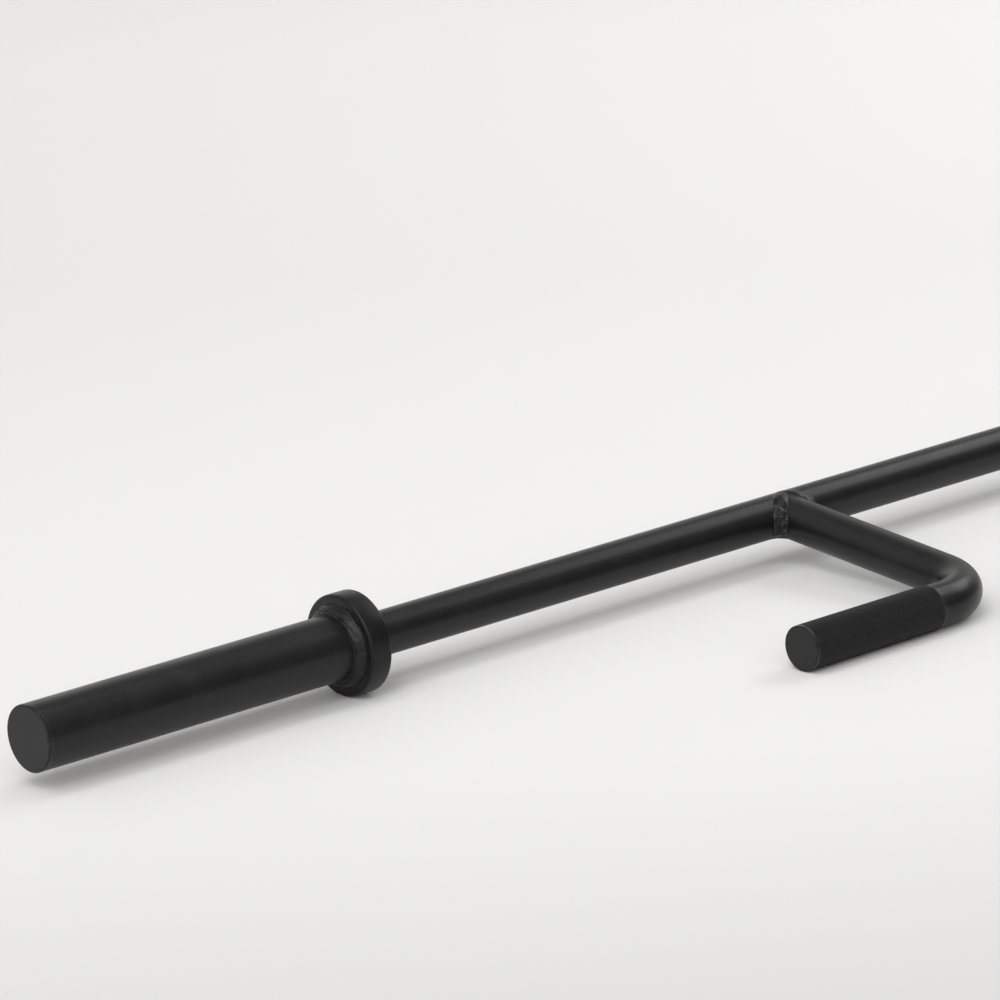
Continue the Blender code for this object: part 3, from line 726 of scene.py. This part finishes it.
def build_shaft():
    """The shaft's tube, coped at its far end to the cross tube."""
    pivot_middle, pivot_size = span("pivot_tube")
    pivot_radius = pivot_size.z / 2
    start = SHAFT_MIDDLE.x - SHAFT_SIZE.x / 2
    hinge = pivot_middle.x
    bore = SHAFT_RADIUS - TUBE_WALL
    along = axis_matrix((start, 0, AXIS_Z), (1, 0, 0))
    length = hinge - start
    stations = 40

    def warp(radius, height, angle):
        if height < length - TINY:
            return radius, height
        across = radius * math.cos(angle)
        return radius, length - math.sqrt(max(pivot_radius ** 2 - across ** 2, 0.0))

    outer = [(SHAFT_RADIUS, length * (1 - step / stations)) for step in range(stations + 1)]
    section = outer + [(bore, 0), (bore, length)]
    shaft = revolve(
        "shaft_surface", section, FINE, along, warp=warp, sharp_angle=SHARP_TURNED
    )
    finish_piece(shaft, "lever", "black_coat", BLACK_COAT, "shaft_tube")


# The handle
GRIP_MIDDLE, GRIP_SIZE = span("knurled_grip")
HANDLE_X = span("handle_weld")[0].x
HANDLE_DROOP = math.atan2(AXIS_Z - GRIP_MIDDLE.z, -GRIP_MIDDLE.y)
HANDLE_ARM = math.hypot(GRIP_MIDDLE.y, AXIS_Z - GRIP_MIDDLE.z)
HANDLE_FRAME = Matrix.Translation((HANDLE_X, 0, AXIS_Z)) @ Matrix.Rotation(HANDLE_DROOP, 4, "X")
GRIP_RADIUS = GRIP_SIZE.z / 2
GRIP_END = GRIP_MIDDLE.x + GRIP_SIZE.x / 2 - HANDLE_X
GRIP_START = GRIP_MIDDLE.x - GRIP_SIZE.x / 2 - HANDLE_X


def build_handle_bar():
    """The arm from the shaft's saddle, its bend, and a short straight up to the grip."""
    route = []
    arm_steps = 30
    arm_end = -HANDLE_ARM + BEND_RADIUS
    for step in range(arm_steps + 1):
        route.append((Vector((0, arm_end * step / arm_steps, 0)), 0.0))
    bend_steps = 36
    for step in range(1, bend_steps + 1):
        turn = math.pi / 2 * step / bend_steps
        x = -BEND_RADIUS + BEND_RADIUS * math.cos(turn)
        y = arm_end - BEND_RADIUS * math.sin(turn)
        route.append((Vector((x, y, 0)), turn))
    stub_steps = 3
    for step in range(1, stub_steps + 1):
        x = -BEND_RADIUS + (GRIP_END + BEND_RADIUS) * step / stub_steps
        route.append((Vector((x, -HANDLE_ARM, 0)), math.pi / 2))
    vertices = []
    bore = SHAFT_RADIUS - TUBE_WALL
    for radius, path in ((SHAFT_RADIUS, route), (bore, route[::-1])):
        for centre, turn in path:
            outward = Vector((math.cos(turn), -math.sin(turn), 0))
            for segment in range(FINE):
                angle = 2 * math.pi * segment / FINE
                point = centre + outward * (radius * math.cos(angle))
                point += Vector((0, 0, radius * math.sin(angle)))
                if turn == 0.0:
                    saddle = -math.sqrt(max(SHAFT_RADIUS ** 2 - point.z ** 2, 0.0))
                    share = centre.y / arm_end
                    point.y = saddle + (arm_end - saddle) * share
                vertices.append(HANDLE_FRAME @ point)
    faces = grid_faces(2 * len(route), FINE, wrap_rows=True)
    bar = new_piece("handle_bar", vertices, faces, sharp_angle=SHARP_BENT)
    finish_piece(bar, "lever", "black_coat", BLACK_COAT, "handle_arm")


def build_grip():
    """A diamond knurl: crossing grooves leave a small pyramid in each diamond."""
    length = GRIP_END - GRIP_START
    pitch = 2 * math.pi * GRIP_RADIUS / KNURL_AROUND
    rows = 2 * round(length / (pitch / math.tan(KNURL_ANGLE)))
    step_along = length / rows
    root = GRIP_RADIUS - KNURL_DEPTH
    vertices = []
    half_turn = math.pi / KNURL_AROUND

    def point(radius, row, half_columns):
        angle = half_turn * half_columns
        x = GRIP_START + step_along * row
        local = Vector((x, radius * math.cos(angle) - HANDLE_ARM, radius * math.sin(angle)))
        return HANDLE_FRAME @ local

    low = {}
    for row in range(rows + 1):
        for column in range(KNURL_AROUND):
            half_columns = 2 * column + row % 2
            low[row, half_columns] = len(vertices)
            vertices.append(point(root, row, half_columns))
    faces = []
    total = 2 * KNURL_AROUND
    for row in range(rows + 1):
        for column in range(KNURL_AROUND):
            half_columns = 2 * column + 1 + row % 2
            left = low[row, (half_columns - 1) % total]
            right = low[row, (half_columns + 1) % total]
            ends = []
            for other in (row - 1, row + 1):
                if 0 <= other <= rows:
                    ends.append(low[other, half_columns % total])
            peak_row = row + (0.5 if row == 0 else -0.5 if row == rows else 0.0)
            peak_radius = GRIP_RADIUS if 0 < row < rows else GRIP_RADIUS - KNURL_DEPTH / 2
            peak = len(vertices)
            vertices.append(point(peak_radius, peak_row, half_columns))
            if row > 0:
                faces.append((left, peak, ends[0]))
                faces.append((ends[0], peak, right))
            if row < rows:
                faces.append((right, peak, ends[-1]))
                faces.append((ends[-1], peak, left))
            if row in (0, rows):
                faces.append((left, right, peak) if row == 0 else (right, left, peak))
    bore = SHAFT_RADIUS - TUBE_WALL
    rims = {}
    for row in (0, rows):
        rims[row] = []
        for column in range(KNURL_AROUND):
            half_columns = 2 * column + row % 2
            rims[row].append(len(vertices))
            vertices.append(point(bore, row, half_columns))
    for column in range(KNURL_AROUND):
        after = (column + 1) % KNURL_AROUND
        for row in (0, rows):
            outer = low[row, 2 * column + row % 2]
            outer_after = low[row, 2 * after + row % 2]
            quad = (outer, rims[row][column], rims[row][after], outer_after)
            faces.append(quad if row == 0 else quad[::-1])
        faces.append((rims[0][column], rims[rows][column], rims[rows][after], rims[0][after]))
    grip = new_piece("grip_knurl", vertices, faces, smooth=False)
    finish_piece(grip, "lever", "knurled_coat", KNURL_COAT, "knurled_grip")


def build_grip_plug():
    """The flat chamfered plug in the grip's end."""
    plug_middle, plug_size = span("grip_end_plug")
    face = plug_middle.x - plug_size.x / 2
    radius = GRIP_RADIUS - KNURL_DEPTH / 2
    back = GRIP_START + HANDLE_X - face
    place = HANDLE_FRAME @ Vector((face - HANDLE_X, -HANDLE_ARM, 0))
    section = [(0, 0), (radius - WEAR_AND_HIGHLIGHT_BAND, 0), (radius, 0), (radius, back), (0, back)]
    rounded = fillet(section, [0, 0, GRIP_EDGE_ROUND, 0, 0], closed=False)
    along = axis_matrix(place, (1, 0, 0))
    plug = revolve("grip_plug", rounded, FINE, along, closed=False, sharp_angle=SHARP_TURNED)
    finish_piece(plug, "lever", "black_coat", BLACK_COAT, "grip_end_plug")


def build_handle():
    """The bent bar, its weld, the knurled grip and the grip's plug."""
    build_handle_bar()
    bead = saddle_bead(
        "handle_bead",
        SHAFT_RADIUS,
        SHAFT_RADIUS,
        HANDLE_WELD_LEG,
        HANDLE_FRAME,
        HANDLE_WELD_HOLLOW,
        SPATTER_HEIGHT,
        seed=5.0,
    )
    finish_piece(bead, "lever", "black_coat", WELD_HIGHLIGHT_COAT, "handle_weld")
    build_grip()
    build_grip_plug()


# Fasteners
def hex_body(name, across_flats, bottom, top, bore, matrix, both_ends):
    """A hexagon with its corners turned off at 30 degrees, as on a real bolt head or nut."""
    flat = across_flats / 2
    turned = flat * HEX_TURNED_SHARE
    slope = math.tan(HEX_CHAMFER_ANGLE)
    rows = (
        (bore, bottom, 0),
        (turned, bottom, 0),
        (across_flats, bottom, 1 if both_ends else 0),
        (across_flats, top, -1),
        (turned, top, 0),
        (bore, top, 0),
    )
    vertices = []
    for limit, height, fall in rows:
        for segment in range(HEX_SEGMENTS):
            angle = 2 * math.pi * segment / HEX_SEGMENTS
            within = (angle + math.pi / 6) % (math.pi / 3) - math.pi / 6
            radius = min(flat / math.cos(within), limit)
            up = height + fall * max(radius - turned, 0.0) * slope
            place = Vector((radius * math.cos(angle), radius * math.sin(angle), up))
            vertices.append(matrix @ place)
    faces = grid_faces(len(rows), HEX_SEGMENTS, wrap_rows=True)
    return new_piece(name, vertices, faces, sharp_angle=SHARP_HEX)


def threaded_rod(name, radius, bottom, top, pitch, thread_from, matrix, tip_chamfer):
    """A round rod with a real helical thread from a height up to its chamfered tip."""
    depth = THREAD_DEPTH_SHARE * pitch
    rows = max(int((top - bottom) / pitch * ROWS_PER_TURN), 2)
    profile = [(radius, bottom + (top - bottom) * row / rows) for row in range(rows + 1)]

    def warp(r, height, angle):
        if height > thread_from:
            phase = (height / pitch - angle / (2 * math.pi)) % 1.0
            groove = 1 - abs(2 * phase - 1)
            fade = min((height - thread_from) / (2 * pitch), 1.0)
            r -= depth * fade * max(groove * (1 + THREAD_CREST) - THREAD_CREST, 0.0)
        near_tip = height - (top - tip_chamfer)
        if near_tip > 0:
            r = min(r, radius - near_tip)
        return r, height

    section = [(0.0, bottom)] + profile + [(0.0, top)]
    return revolve(
        name, section, SMALL, matrix, closed=False, warp=warp, sharp_angle=SHARP_THREAD
    )


def join_pieces(name, pieces):
    """One object from several, each keeping its own closed surface."""
    vertices = []
    faces = []
    for piece in pieces:
        offset = len(vertices)
        vertices += [vertex.co.copy() for vertex in piece.data.vertices]
        mesh = piece.data
        for polygon in mesh.polygons:
            faces.append(tuple(offset + index for index in polygon.vertices))
        bpy.data.objects.remove(piece)
        bpy.data.meshes.remove(mesh)
    return new_piece(name, vertices, faces, sharp_angle=SHARP_JOINED)


def washer(name, node, axis, body):
    """A flat washer along an axis, with its outer edges rounded."""
    middle, size = span(node)
    along = max(range(3), key=lambda k: abs(axis[k]))
    across = 0 if along != 0 else 1
    thickness = size[along]
    outer = size[across] / 2
    inner = WASHER_BORES[node.rsplit("_", 1)[0]]
    origin = middle - Vector(axis) * (thickness / 2)
    section = ring_section(outer, inner, 0, thickness, EDGE_ROUND)
    piece = revolve(name, section, SMALL, axis_matrix(origin, axis), sharp_angle=SHARP_TURNED)
    finish_piece(piece, body, "zinc_steel", ZINC, node)


def build_floor_bolts():
    """Four bolts, plain below their heads because the base hides the thread, and washers."""
    for number in range(1, 5):
        middle, size = span("floor_bolt_%d" % number)
        top = middle.z + size.z / 2
        bottom = middle.z - size.z / 2
        at = Matrix.Translation((middle.x, middle.y, 0))
        head = hex_body("head", BOLT_HEX, top - BOLT_HEAD_HEIGHT, top, 0.0, at, False)
        shank_top = top - BOLT_HEAD_HEIGHT / 2
        shank = threaded_rod("shank", BOLT_RADIUS, bottom, shank_top, BOLT_PITCH, top, at, 0.0)
        bolt = join_pieces("anchor_bolt_%d" % number, [head, shank])
        finish_piece(bolt, "base", "zinc_steel", ZINC, "floor_bolt_%d" % number)
        washer("anchor_washer_%d" % number, "floor_washer_%d" % number, (0, 0, 1), "base")


def build_king():
    """The king pin with its nut and washer."""
    middle, size = span("king_pin")
    nut_middle, nut_size = span("king_nut")
    at = Matrix.Translation((middle.x, middle.y, 0))
    bottom = middle.z - size.z / 2
    top = middle.z + size.z / 2
    thread_from = nut_middle.z - nut_size.z / 2
    pin = threaded_rod(
        "king_stud", KING_RADIUS, bottom, top, KING_PITCH, thread_from, at, KING_TIP_CHAMFER
    )
    finish_piece(pin, "base", "zinc_steel", ZINC, "king_pin")
    nut_top = thread_from + nut_size.z
    nut = hex_body("king_lock_nut", KING_HEX, thread_from, nut_top, KING_RADIUS, at, True)
    finish_piece(nut, "base", "zinc_steel", ZINC, "king_nut")
    washer("king_flat_washer", "king_washer", (0, 0, 1), "base")


def build_hinge_pin():
    """The hinge bolt with its crowned nut and two washers."""
    middle, size = span("hinge_pin")
    nut_middle, nut_size = span("hinge_nut")
    near = middle.y - size.y / 2
    far = middle.y + size.y / 2
    along = axis_matrix((middle.x, 0, AXIS_Z), (0, 1, 0))
    back = axis_matrix((middle.x, 0, AXIS_Z), (0, -1, 0))
    head = hex_body("head", PIN_HEX, -near - PIN_HEAD_HEIGHT, -near, 0.0, back, False)
    thread_from = nut_middle.y - nut_size.y / 2
    shank_from = near + PIN_HEAD_HEIGHT / 2
    shank = threaded_rod(
        "shank", PIN_RADIUS, shank_from, far, PIN_PITCH, thread_from, along, PIN_TIP_CHAMFER
    )
    pin = join_pieces("hinge_bolt", [head, shank])
    finish_piece(pin, "swivel", "zinc_steel", ZINC, "hinge_pin")
    nut_top = thread_from + nut_size.y
    hex_top = nut_top - CROWN_HEIGHT
    body = hex_body("nut", PIN_HEX, thread_from, hex_top, PIN_RADIUS, along, True)
    section = ring_section(CROWN_RADIUS, PIN_RADIUS, hex_top, nut_top, CROWN_ROUND)
    crown = revolve("crown", section, SMALL, along)
    nut = join_pieces("hinge_lock_nut", [body, crown])
    finish_piece(nut, "swivel", "zinc_steel", ZINC, "hinge_nut")
    washer("pin_flat_washer_near", "pin_washer_near", (0, 1, 0), "swivel")
    washer("pin_flat_washer_far", "pin_washer_far", (0, 1, 0), "swivel")


# The pivot's plates, tube and bushes: the CAD solids with softened edges
def soften(node, width, material):
    """Give a CAD node softened edges and a finish."""
    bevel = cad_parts[node].modifiers.new("soft_edge", "BEVEL")
    bevel.width = width
    bevel.segments = SOFT_EDGE_STEPS
    bevel.limit_method = "ANGLE"
    bevel.angle_limit = SOFT_EDGE_ANGLE
    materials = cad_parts[node].data.materials
    materials.clear()
    materials.append(material)


def build_pivot():
    """The pivot's finishes, the bead round the shaft's far end and the beads at the ears' feet."""
    for node in ("base_plate", "swivel_fork", "ear_near", "ear_far"):
        soften(node, PLATE_EDGE, BASE_COAT)
    for node in ("swivel_bush", "pivot_bush_near", "pivot_bush_far"):
        soften(node, EDGE_ROUND / 2, BRONZE)
    soften("thrust_disc", EDGE_ROUND / 2, NYLON)
    soften("pivot_tube", EDGE_ROUND, PIVOT_COAT)
    middle, size = span("pivot_tube")
    turn = Matrix.Translation((middle.x, 0, AXIS_Z)) @ Matrix.Rotation(-math.pi / 2, 4, "Z")
    bead = saddle_bead(
        "pivot_bead",
        SHAFT_RADIUS,
        size.z / 2,
        PIVOT_WELD_LEG,
        turn,
        PIVOT_WELD_HOLLOW,
        spatter=0.0,
        seed=11.0,
    )
    finish_piece(bead, "lever", "black_coat", BLACK_COAT, "pivot_weld")
    for side, name in ((-1, "near"), (1, "far")):
        low, high = (Vector(corner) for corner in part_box("ear_" + name))
        outer = low.y if side < 0 else high.y
        inner = high.y if side < 0 else low.y
        front = Vector((low.x, outer, low.z))
        corner = Vector((high.x, outer, low.z))
        back = Vector((high.x, inner, low.z))
        outward = Vector((0, side, 0))
        side_bead = foot_bead("ear_foot_bead_" + name, front, corner, outward, seed=21.0 + side)
        finish_piece(side_bead, "swivel", "base_coat", BASE_COAT)
        outward = Vector((1, 0, 0))
        back_bead = foot_bead("ear_back_bead_" + name, corner, back, outward, seed=31.0 + side)
        finish_piece(back_bead, "swivel", "base_coat", BASE_COAT)


build_sleeve()
build_shaft()
build_handle()
build_floor_bolts()
build_king()
build_hinge_pin()
build_pivot()


# Studio: pale floor sweep, room, lamps and camera
def build_floor():
    """A pale floor that sweeps up into a backdrop behind the bar; its tones hold painted shade and
    painted light.
    """
    away = Vector((math.cos(CAMERA_YAW), math.sin(CAMERA_YAW), 0))
    across = Vector((-away.y, away.x, 0))
    flat_end = FLOOR_REACH - SWEEP_RADIUS
    profile = [(FLOOR_BACK, 0.0), (flat_end, 0.0)]
    for step in range(1, SWEEP_STEPS + 1):
        angle = math.pi / 2 * step / SWEEP_STEPS
        along = flat_end + SWEEP_RADIUS * math.sin(angle)
        profile.append((along, SWEEP_RADIUS - SWEEP_RADIUS * math.cos(angle)))
    profile.append((FLOOR_REACH, SWEEP_RADIUS + BACKDROP_RISE))
    vertices = []
    for along, up in profile:
        for side in (-FLOOR_HALF_WIDTH, FLOOR_HALF_WIDTH):
            vertices.append(away * along + across * side + Vector((0, 0, up)))
    floor = new_piece("studio_floor", vertices, grid_faces(len(profile), 2, wrap_columns=False))
    nodes = Nodes("studio_floor")
    turned = nodes.add("ShaderNodeVectorRotate", rotation_type="Z_AXIS")
    turned.inputs["Angle"].default_value = -CAMERA_YAW
    nodes.link(nodes.place, turned.inputs["Vector"])
    parts = nodes.add("ShaderNodeSeparateXYZ")
    nodes.link(turned.outputs["Vector"], parts.inputs[0])
    mottle = nodes.noise(FLOOR_MOTTLE_SCALE)
    mottle = nodes.remap(mottle, 0.0, 1.0, -FLOOR_MOTTLE, FLOOR_MOTTLE)
    outward = parts.outputs["X"]
    # Tone zones: painted shade near the camera, on the far band and at the right; painted light
    # beyond
    past_near = nodes.combine("ADD", nodes.remap(outward, *MIDDLE_FROM), mottle)
    pale = nodes.mix(past_near, FLOOR_NEAR_SHADE, FLOOR_MIDDLE)
    pale = nodes.mix(nodes.remap(outward, *FAR_FROM), pale, FLOOR_FAR_SHADE)
    pale = nodes.mix(nodes.remap(outward, *BEYOND_FROM), pale, FLOOR_BEYOND_LIT)
    pale = nodes.mix(nodes.remap(parts.outputs["Y"], *RIGHT_FROM), pale, FLOOR_RIGHT_SHADE)
    nodes.link(pale, nodes.shader.inputs["Base Color"])
    nodes.shader.inputs["Roughness"].default_value = FLOOR_ROUGHNESS
    nodes.shader.inputs["Specular IOR Level"].default_value = FLOOR_SPECULAR
    floor.data.materials.append(nodes.material)


def area_lamp(name, place, target, width, height, power):
    """A rectangular lamp that shines from a place at a target."""
    data = bpy.data.lights.new(name, "AREA")
    data.shape = "RECTANGLE"
    data.size = width
    data.size_y = height
    data.energy = power
    lamp = bpy.data.objects.new(name, data)
    bpy.context.scene.collection.objects.link(lamp)
    aim = Vector(target) - Vector(place)
    lamp.location = place
    lamp.rotation_euler = aim.to_track_quat("-Z", "Y").to_euler()


def sun_lamp(name, source, spread, strength):
    """A far, soft lamp that shines from a direction."""
    data = bpy.data.lights.new(name, "SUN")
    data.energy = strength
    data.angle = spread
    lamp = bpy.data.objects.new(name, data)
    bpy.context.scene.collection.objects.link(lamp)
    lamp.rotation_euler = (-source).to_track_quat("-Z", "Y").to_euler()


def build_light():
    """A room, bright behind the camera and at its left, duller low down and overhead; and lamps."""
    world = bpy.data.worlds.new("studio")
    world.use_nodes = True
    bpy.context.scene.world = world
    tree = world.node_tree
    room = tree.nodes["Background"]

    def smooth_range(value, numbers):
        node = tree.nodes.new("ShaderNodeMapRange")
        node.interpolation_type = "SMOOTHSTEP"
        for key, number in zip(RANGE_SOCKETS, numbers):
            node.inputs[key].default_value = number
        tree.links.new(value, node.inputs["Value"])
        return node.outputs["Result"]

    direction = tree.nodes.new("ShaderNodeTexCoord").outputs["Generated"]
    parts = tree.nodes.new("ShaderNodeSeparateXYZ")
    tree.links.new(direction, parts.inputs[0])

    def toward(side):
        node = tree.nodes.new("ShaderNodeVectorMath")
        node.operation = "DOT_PRODUCT"
        tree.links.new(direction, node.inputs[0])
        node.inputs[1].default_value = side
        return node.outputs["Value"]

    level = tree.nodes.new("ShaderNodeMath")
    level.operation = "MULTIPLY_ADD"
    climb = tree.nodes.new("ShaderNodeMath")
    climb.operation = "MULTIPLY"
    tree.links.new(smooth_range(parts.outputs["Z"], ROOM_CLIMB), climb.inputs[0])
    tree.links.new(smooth_range(parts.outputs["Z"], ZENITH_FADE), climb.inputs[1])
    tree.links.new(climb.outputs[0], level.inputs[0])
    tree.links.new(smooth_range(toward(BRIGHT_SIDE), ROOM_SIDE), level.inputs[1])
    tree.links.new(smooth_range(toward(WALL_SIDE), WALL_RANGE), level.inputs[2])
    tree.links.new(level.outputs[0], room.inputs["Strength"])
    room.inputs["Color"].default_value = ROOM_COLOUR
    sun_lamp("key", KEY_FROM, KEY_SPREAD, KEY_STRENGTH)
    area_lamp("overhead_strip", STRIP_PLACE, STRIP_AIM, STRIP_LENGTH, STRIP_WIDTH, STRIP_POWER)
    area_lamp(
        "top_right",
        TOP_RIGHT_PLACE,
        TOP_RIGHT_AIM,
        TOP_RIGHT_DEPTH,
        TOP_RIGHT_WIDTH,
        TOP_RIGHT_POWER,
    )


def build_camera():
    """The camera that took the photograph, rolled a little."""
    forward = Vector((math.cos(CAMERA_YAW), math.sin(CAMERA_YAW), 0)) * math.cos(CAMERA_PITCH)
    forward.z = -math.sin(CAMERA_PITCH)
    level = forward.cross(Vector((0, 0, 1))).normalized()
    upright = level.cross(forward)
    right = level * math.cos(CAMERA_ROLL) + upright * math.sin(CAMERA_ROLL)
    up = upright * math.cos(CAMERA_ROLL) - level * math.sin(CAMERA_ROLL)
    data = bpy.data.cameras.new("photo_camera")
    data.sensor_width = SENSOR
    data.lens = FOCAL_IN_FRAMES * SENSOR
    data.clip_end = CAMERA_CLIP
    camera = bpy.data.objects.new("photo_camera", data)
    bpy.context.scene.collection.objects.link(camera)
    turn = Matrix((right, up, -forward)).transposed()
    camera.matrix_world = Matrix.Translation(CAMERA_PLACE) @ turn.to_4x4()
    bpy.context.scene.camera = camera


build_floor()
build_light()
build_camera()
bpy.context.scene.view_settings.view_transform = "Standard"
